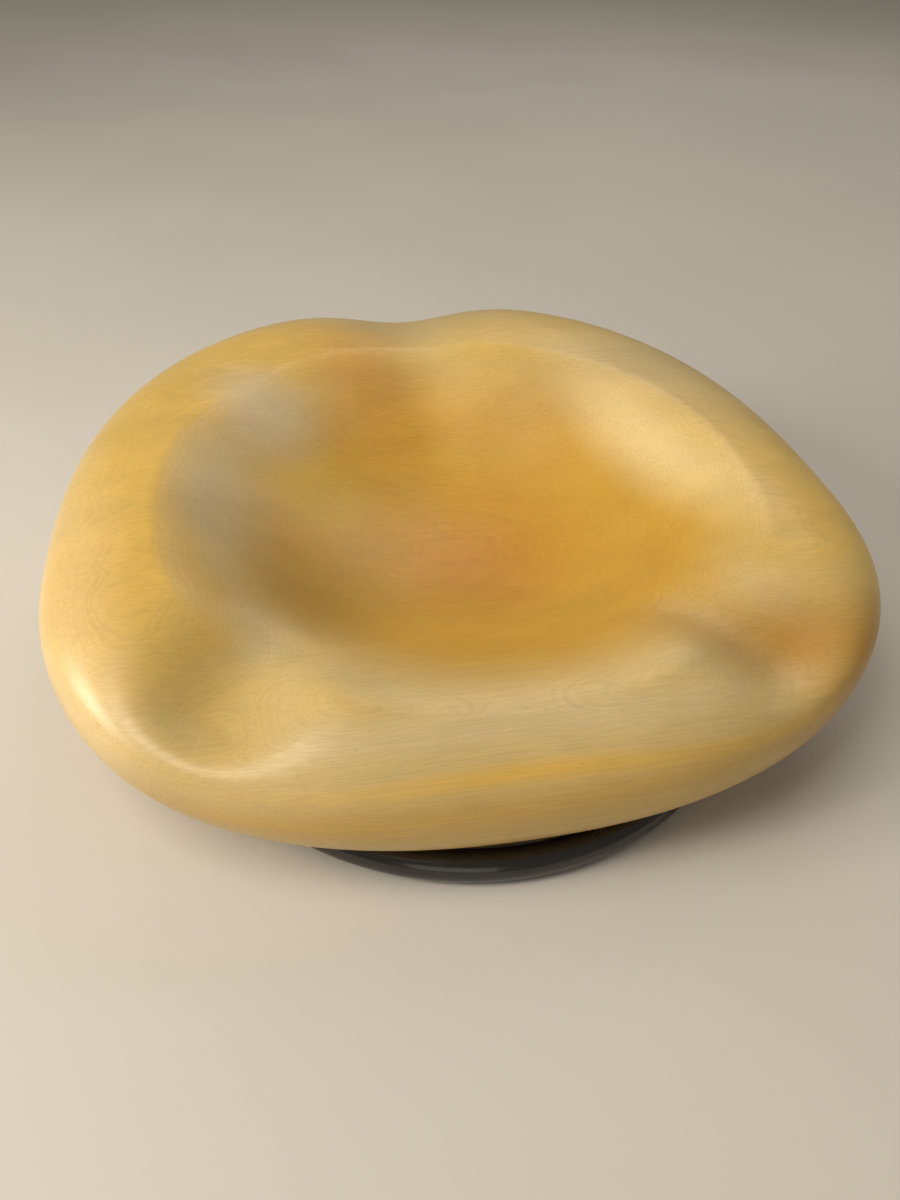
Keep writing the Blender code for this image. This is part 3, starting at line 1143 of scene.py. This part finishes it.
# ---- The carrier ring --------------------------------------------------------------------------------------
@dataclass
class CarrierRing:
    """Round steel tube with four welded lugs that the seat is screwed to.

    Attributes:
        tube: radius of the tube.
        seam_height: height of the dressed weld that closes the tube.
        seam_spread: half width of that weld.
        seam_ripple: length of a ripple on it, divided by 2 pi.
        tube_steps: steps along and round the tube.
        lug_reach: length of a lug inwards from the tube's centre line.
        lug_seat: how far inside that line its welded end lies.
        lug_width: width of a lug.
        lug_corner: radius of its two inner corners.
        lug_ease: width of its eased edges.
        cope_gap: air between the tube and a lug's coped end.
        hole: radius of its screw hole.
        bead: radius of a weld bead.
        bead_sink: share of that radius by which the bead sinks into the corner.
        bead_margin: how much shorter than the lug's width it is.
        ripples: number of ripples along a weld bead.
        ripple_depth: their depth as a share of the bead's radius.
        ripple_rows: rows of faces in each ripple.
        centre: middle of the ring.
        radius: radius of the tube's centre line.
    """

    tube: float = 0.008
    seam_height: float = 0.0001
    seam_spread: float = 0.0035
    seam_ripple: float = 0.0006
    tube_steps: tuple[int, int] = (240, 40)
    lug_reach: float = 0.046
    lug_seat: float = 0.006
    lug_width: float = 0.030
    lug_corner: float = 0.008
    lug_ease: float = 0.0005
    cope_gap: float = 0.0002
    hole: float = 0.00325
    bead: float = 0.0019
    bead_sink: float = 0.3
    bead_margin: float = 0.002
    ripples: int = 13
    ripple_depth: float = 0.10
    ripple_rows: int = 8
    centre: Vector = field(init=False)
    radius: float = field(init=False)

    def __post_init__(self) -> None:
        """Take the ring's place and size from the frame."""
        low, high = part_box("carrier_ring")
        self.centre = 0.5 * (low + high)
        self.radius = 0.5 * (high.x - low.x) - self.tube

    def torus(self, name: str, tube: float, middle: Vector) -> bpy.types.Object:
        """Add a smooth ring of the carrier ring's radius.

        Args:
            name: name of the new piece.
            tube: radius of its tube.
            middle: its middle.

        Returns:
            The new piece.
        """
        deselect_all()
        along, around = self.tube_steps
        bpy.ops.mesh.primitive_torus_add(major_radius=self.radius, minor_radius=tube, major_segments=along,
                                         minor_segments=around, location=middle)
        return settle(bpy.context.object, name)

    def build_tube(self, finish: bpy.types.Material) -> None:
        """Form the tube, with the dressed butt weld that closes it at the rear.

        Args:
            finish: the enamel's material.
        """
        ring = self.torus("ring_tube", self.tube - self.seam_height, self.centre)
        for vert in ring.data.vertices:
            arm = vert.co - self.centre
            off_seam = math.atan2(arm.x, arm.y) * self.radius
            spine = Vector((arm.x, arm.y, 0)).normalized() * self.radius
            ripple = 1 + 0.5 * math.cos(off_seam / self.seam_ripple)
            seam = self.seam_height * bell(off_seam, self.seam_spread) * ripple
            vert.co += (arm - spine).normalized() * seam
        smooth(ring)
        hand_over(ring, Slot.ENAMEL, finish, "carrier_ring")

    def model_lug(self) -> bpy.types.Object:
        """Shape a lug: a flat bar with round inner corners, coped to the tube and drilled.

        Returns:
            The lug, as it lies on a ring round the frame's origin, where +X crosses the tube.
        """
        low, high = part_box("ring_lug_1")
        length = self.lug_reach - self.lug_seat
        deselect_all()
        bpy.ops.mesh.primitive_cube_add(size=1)
        lug = bpy.context.object
        lug.scale = (length, self.lug_width, high.z - low.z)
        lug.location = (self.radius - self.lug_seat - 0.5 * length, 0, 0.5 * (low.z + high.z))
        settle(lug, "lug_model")
        live = edit(lug, "EDGE")
        inner = self.radius - self.lug_reach + self.lug_seat
        pick(lug, live.edges,
             lambda edge: rise(edge) > SAME_PLACE and all(vert.co.x < inner for vert in edge.verts))
        bpy.ops.mesh.bevel(offset=self.lug_corner, segments=12)
        bpy.ops.object.mode_set(mode="OBJECT")
        cut_away(lug, self.torus("cope", self.tube + self.cope_gap, Vector((0, 0, self.centre.z))))
        screw_reach = (middle_of("lug_screw_1") - self.centre).to_2d().length
        drill = rod("hole", self.hole, low.z - OVERSHOOT, high.z + OVERSHOOT, Vector((screw_reach, 0, 0)), 64)
        cut_away(lug, drill)
        ease_edges(lug, self.lug_ease)
        smooth(lug)
        return lug

    def model_bead(self) -> bpy.types.Object:
        """Lay the rippled weld bead that fills the corner under a lug.

        Returns:
            The bead, as it lies on a ring round the frame's origin, where +X crosses the tube.
        """
        under_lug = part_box("ring_lug_1")[0].z
        bead = rod("bead_model", self.bead, -0.5, 0.5, Vector((0, 0, 0)), 20)
        cut_rows(bead, SAME_PLACE, self.ripple_rows * self.ripples - 1)
        sink = self.bead_sink * self.bead
        corner = self.radius - math.sqrt(self.tube ** 2 - (under_lug - self.centre.z) ** 2) - sink
        for vert in bead.data.vertices:
            along = vert.co.z
            taper = math.sqrt(max(0.0, 1 - (2 * abs(along)) ** 6))
            ripple = 1 - self.ripple_depth * abs(math.sin(math.pi * along * self.ripples))
            reach = corner + vert.co.x * taper * ripple
            angle = along * (self.lug_width - self.bead_margin) / corner
            height = under_lug - sink + vert.co.y * taper * ripple
            vert.co = (reach * math.cos(angle), reach * math.sin(angle), height)
        edit(bead)
        bpy.ops.mesh.select_all(action="SELECT")
        bpy.ops.mesh.remove_doubles(threshold=MERGE)
        bpy.ops.mesh.normals_make_consistent(inside=False)
        bpy.ops.object.mode_set(mode="OBJECT")
        smooth(bead, 60)
        return bead

    def build(self, finish: bpy.types.Material) -> None:
        """Build the tube, model a lug and its weld, and copy them round the ring.

        Args:
            finish: the enamel's material.
        """
        self.build_tube(finish)
        lug_model, bead_model = self.model_lug(), self.model_bead()
        for number in LUG_NUMBERS:
            turn = 2 * math.pi * (number - 0.5) / len(LUG_NUMBERS)
            middle = Matrix.Translation((self.centre.x, self.centre.y, 0))
            move = middle @ Matrix.Rotation(turn, 4, "Z")
            hand_over(copy_of(lug_model, f"lug_{number}", move), Slot.ENAMEL, finish, f"ring_lug_{number}")
            hand_over(copy_of(bead_model, f"weld_bead_{number}", move), Slot.ENAMEL, finish)
        for model in (lug_model, bead_model):
            bpy.data.objects.remove(model, do_unlink=True)


# ---- Fasteners ---------------------------------------------------------------------------------------------
@dataclass
class SeatFixings:
    """Screws with their washers and the threaded inserts that they draw up into.

    Attributes:
        shank: radius of the screw's thread.
        head_height: height of the screw's head.
        socket: across the flats of the key's socket.
        socket_depth: depth of the socket.
        pitch: pitch of the thread.
        thread_depth: depth of the thread.
        thread_start: plain neck under the head.
        thread_rows: rows of faces in each turn of the thread.
        tip: length of the tapered tip.
        tip_taper: how much its radius loses for each metre of length.
        flutes: number of grip flutes round the head.
        flute_depth: depth of a flute.
        flute_band: heights of the fluted band under the head's top face, as shares of the head's height.
        head_rows: rows of faces up the head.
        bore_gap: air between the thread and the bores of the washer and the insert.
        washer_ease: width of the washer's eased edges.
        barrel: radius of the insert's barrel.
        flange: thickness of the insert's flange.
        barbs: number of barbs on the barrel.
        barb_depth: depth of a barb.
        barb_rows: rows of faces in each barb.
    """

    shank: float = 0.003
    head_height: float = 0.0045
    socket: float = 0.005
    socket_depth: float = 0.0025
    pitch: float = 0.001
    thread_depth: float = 0.00055
    thread_start: float = 0.0012
    thread_rows: int = 6
    tip: float = 0.001
    tip_taper: float = 0.6
    flutes: int = 32
    flute_depth: float = 0.00022
    flute_band: tuple[float, float] = (-0.85, -0.15)
    head_rows: int = 8
    bore_gap: float = 0.00025
    washer_ease: float = 0.00025
    barrel: float = 0.00525
    flange: float = 0.0015
    barbs: int = 5
    barb_depth: float = 0.0005
    barb_rows: int = 6

    def cut_thread(self, screw: bpy.types.Object, middle: Vector, shoulder: float, length: float) -> None:
        """Cut the thread and taper the tip of a screw's shank.

        Args:
            screw: the screw.
            middle: its middle.
            shoulder: height of the head's upper face.
            length: length of the shank.
        """
        for vert in screw.data.vertices:
            arm, height = (vert.co - middle).to_2d(), vert.co.z - shoulder
            if arm.length < self.shank * 1.01 and height > self.thread_start:
                phase = (height / self.pitch - math.atan2(arm.y, arm.x) / (2 * math.pi)) % 1
                depth = self.thread_depth * (1 - abs(2 * phase - 1))
                taper = max(0.0, height - (length - self.tip)) * self.tip_taper
                pull_in(vert, middle, (depth + taper) / self.shank)

    def cut_flutes(self, screw: bpy.types.Object, middle: Vector, shoulder: float, head: float) -> None:
        """Cut the grip flutes round a screw's head.

        Args:
            screw: the screw.
            middle: its middle.
            shoulder: height of the head's upper face.
            head: radius of the head.
        """
        lowest, highest = (share * self.head_height for share in self.flute_band)
        for vert in screw.data.vertices:
            arm = (vert.co - middle).to_2d()
            if arm.length > head * 0.99 and lowest < vert.co.z - shoulder < highest:
                wave = 0.5 + 0.5 * math.cos(math.atan2(arm.y, arm.x) * self.flutes)
                pull_in(vert, middle, self.flute_depth * wave / head)

    def model_screw(self) -> bpy.types.Object:
        """Turn the cap screw: fluted head, hexagon socket and threaded shank.

        Returns:
            The screw, in the first lug.
        """
        low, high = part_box("lug_screw_1")
        middle, head = middle_of("lug_screw_1"), 0.5 * (high.x - low.x)
        shoulder = low.z + self.head_height
        length = high.z - shoulder
        screw = rod("screw_model", head, low.z, shoulder, middle, 6 * self.flutes)
        draw_out(screw, head - self.shank, length)
        cut_rows(screw, self.head_height * 1.5, int(length / self.pitch * self.thread_rows))
        cut_rows(screw, self.head_height * 0.9, self.head_rows - 1)
        self.cut_thread(screw, middle, shoulder, length)
        self.cut_flutes(screw, middle, shoulder, head)
        corner = self.socket / math.sqrt(3)
        cut_away(screw, rod("key", corner, low.z - OVERSHOOT, low.z + self.socket_depth, middle, 6))
        smooth(screw, 35)
        return screw

    def model_washer(self) -> bpy.types.Object:
        """Punch the washer out and round its edges.

        Returns:
            The washer, under the first lug.
        """
        low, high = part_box("lug_washer_1")
        outer = 0.5 * (high.x - low.x)
        washer = rod("washer_model", outer, low.z, high.z, middle_of("lug_washer_1"), 72)
        bore_through(washer, self.shank + self.bore_gap, outer)
        ease_edges(washer, self.washer_ease)
        smooth(washer)
        return washer

    def model_insert(self) -> bpy.types.Object:
        """Turn the insert: flange, barbed barrel and bore.

        Returns:
            The insert, over the first lug.
        """
        low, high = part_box("threaded_insert_1")
        middle, outer = middle_of("threaded_insert_1"), 0.5 * (high.x - low.x)
        reach = high.z - low.z - self.flange
        insert = rod("insert_model", outer, low.z, low.z + self.flange, middle, 72)
        draw_out(insert, outer - self.barrel, reach)
        cut_rows(insert, 2 * self.flange, self.barbs * self.barb_rows - 1)
        for vert in insert.data.vertices:
            arm, height = (vert.co - middle).to_2d(), vert.co.z - low.z - self.flange
            on_barrel = abs(arm.length - self.barrel) < SAME_PLACE
            if on_barrel and SAME_PLACE < height < reach - SAME_PLACE:
                barb = self.barb_depth * ((height / reach * self.barbs) % 1)
                pull_in(vert, middle, barb / self.barrel)
        bore_through(insert, self.shank + self.bore_gap, self.barrel)
        smooth(insert, 35)
        return insert

    def build(self, zinc: bpy.types.Material, brass: bpy.types.Material) -> None:
        """Model one fixing and copy it to every lug.

        Args:
            zinc: finish of the screws and washers.
            brass: finish of the inserts.
        """
        kinds = (
            ("cap_screw", "lug_screw", self.model_screw(), Slot.ZINC, zinc),
            ("washer", "lug_washer", self.model_washer(), Slot.ZINC, zinc),
            ("insert", "threaded_insert", self.model_insert(), Slot.BRASS, brass),
        )
        for number in LUG_NUMBERS:
            for name, node, model, slot, finish in kinds:
                move = Matrix.Translation(middle_of(f"{node}_{number}") - middle_of(f"{node}_1"))
                hand_over(copy_of(model, f"{name}_{number}", move), slot, finish, f"{node}_{number}")
        for kind in kinds:
            bpy.data.objects.remove(kind[2], do_unlink=True)


# ---- Studio ------------------------------------------------------------------------------------------------
@dataclass(frozen=True)
class Lamp:
    """Soft square light that looks at the seat.

    Attributes:
        name: name of the light.
        azimuth: where it stands round the seat in degrees, 0 in front and 90 to the right.
        elevation: its height over the floor in degrees.
        distance: its distance from the seat in metres.
        size: length of its side.
        power: its power in watts.
        colour: its colour.
    """

    name: str
    azimuth: float
    elevation: float
    distance: float
    size: float
    power: float
    colour: Colour

    def build(self, target: Vector) -> None:
        """Hang the light and turn it to the target.

        Args:
            target: the place that it looks at.
        """
        light = bpy.data.lights.new(self.name, "AREA")
        light.size, light.energy, light.color = self.size, self.power, self.colour
        lamp = bpy.data.objects.new(self.name, light)
        bpy.context.scene.collection.objects.link(lamp)
        a, e = math.radians(self.azimuth), math.radians(self.elevation)
        away = Vector((math.sin(a) * math.cos(e), -math.cos(a) * math.cos(e), math.sin(e)))
        lamp.location = target + away * self.distance
        lamp.rotation_euler = (-away).to_track_quat("-Z", "Y").to_euler()


@dataclass
class Studio:
    """Pale floor, soft lights and the camera.

    Attributes:
        target: middle of the seat's widest line.
        azimuth: where the camera stands round the seat in degrees, negative to the left of its front.
        elevation: its height over the floor in degrees.
        distance: its distance from the target in metres.
        aside: how far to the right of the target its axis passes.
        above: how far above the target its axis passes.
        roll: its lean in degrees.
        lens: focal length for a 36 mm long side.
        lamps: the lights, from the strongest to the weakest.
        room: colour of the light that comes from all round.
        room_strength: strength of that light.
        floor_gap: how far the floor lies under the ring.
    """

    target: Vector
    azimuth: float = -11.95
    elevation: float = 39.78
    distance: float = 0.5514
    aside: float = -0.0054
    above: float = -0.0137
    roll: float = 2.17
    lens: float = 29.1
    lamps: tuple[Lamp, ...] = (
        Lamp("window", -82, 27, 1.5, 0.6, 16, (1.0, 0.91, 0.76)),
        Lamp("overhead", -58, 62, 1.6, 0.7, 10, (1.0, 0.92, 0.80)),
        Lamp("rear fill", 150, 45, 2.2, 1.4, 8, (1.0, 0.93, 0.82)),
        Lamp("front fill", -12, 18, 2.4, 1.2, 4, (1.0, 0.92, 0.80)),
    )
    room: Colour = (0.92, 0.83, 0.70)
    room_strength: float = 0.25
    floor_gap: float = 0.0002

    def build_camera(self) -> None:
        """Stand the camera at its place."""
        a, e, lean = (math.radians(angle) for angle in (self.azimuth, self.elevation, self.roll))
        forward = Vector((-math.sin(a) * math.cos(e), math.cos(a) * math.cos(e), -math.sin(e)))
        right = Vector((math.cos(a), math.sin(a), 0))
        up = right.cross(forward)
        place = self.target - forward * self.distance + right * self.aside + up * self.above
        across = right * math.cos(lean) + up * math.sin(lean)
        upright = up * math.cos(lean) - right * math.sin(lean)
        data = bpy.data.cameras.new("camera")
        data.sensor_width, data.lens = 36, self.lens
        data.clip_start = 0.01
        camera = bpy.data.objects.new("camera", data)
        bpy.context.scene.collection.objects.link(camera)
        stance = Matrix((across, upright, -forward)).transposed().to_4x4()
        camera.matrix_world = Matrix.Translation(place) @ stance
        bpy.context.scene.camera = camera

    def build_floor(self) -> None:
        """Lay the floor that the ring stands on."""
        deselect_all()
        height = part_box("carrier_ring")[0].z - self.floor_gap
        bpy.ops.mesh.primitive_plane_add(size=16, location=(0, 0, height))
        floor = settle(bpy.context.object, "pale_floor")
        floor.data.materials.append(Plaster().material())

    def build(self) -> None:
        """Build the whole studio."""
        self.build_floor()
        for lamp in self.lamps:
            lamp.build(self.target)
        world = bpy.data.worlds.new("soft room")
        world.use_nodes = True
        background = world.node_tree.nodes["Background"]
        background.inputs["Color"].default_value = (*self.room, 1)
        background.inputs["Strength"].default_value = self.room_strength
        bpy.context.scene.world = world
        bpy.context.scene.view_settings.view_transform = "Standard"
        self.build_camera()


def main() -> None:
    """Build the seat, its ring and its fixings, and then the studio round them."""
    logging.basicConfig(level=logging.INFO, format="%(message)s")
    ring = CarrierRing()
    ring_setback = 0.009  # how far the seat's widest line lies behind the ring's middle
    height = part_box("seat_board_lower")[0].z + CarvedSeat.deck_depth
    widest = Vector((ring.centre.x, ring.centre.y + ring_setback, height))
    CarvedSeat(widest).build(Timber(tuple(widest)).material())
    ring.build(Enamel().material())
    zinc = TurnedMetal("bright_zinc", (0.62, 0.62, 0.63), (0.40, 0.41, 0.43), (0.22, 0.42))
    brass = TurnedMetal("machined_brass", (0.72, 0.52, 0.22), (0.45, 0.30, 0.11), (0.20, 0.36))
    SeatFixings().build(zinc.material(), brass.material())
    Studio(widest).build()


if __name__ == "__main__":
    main()
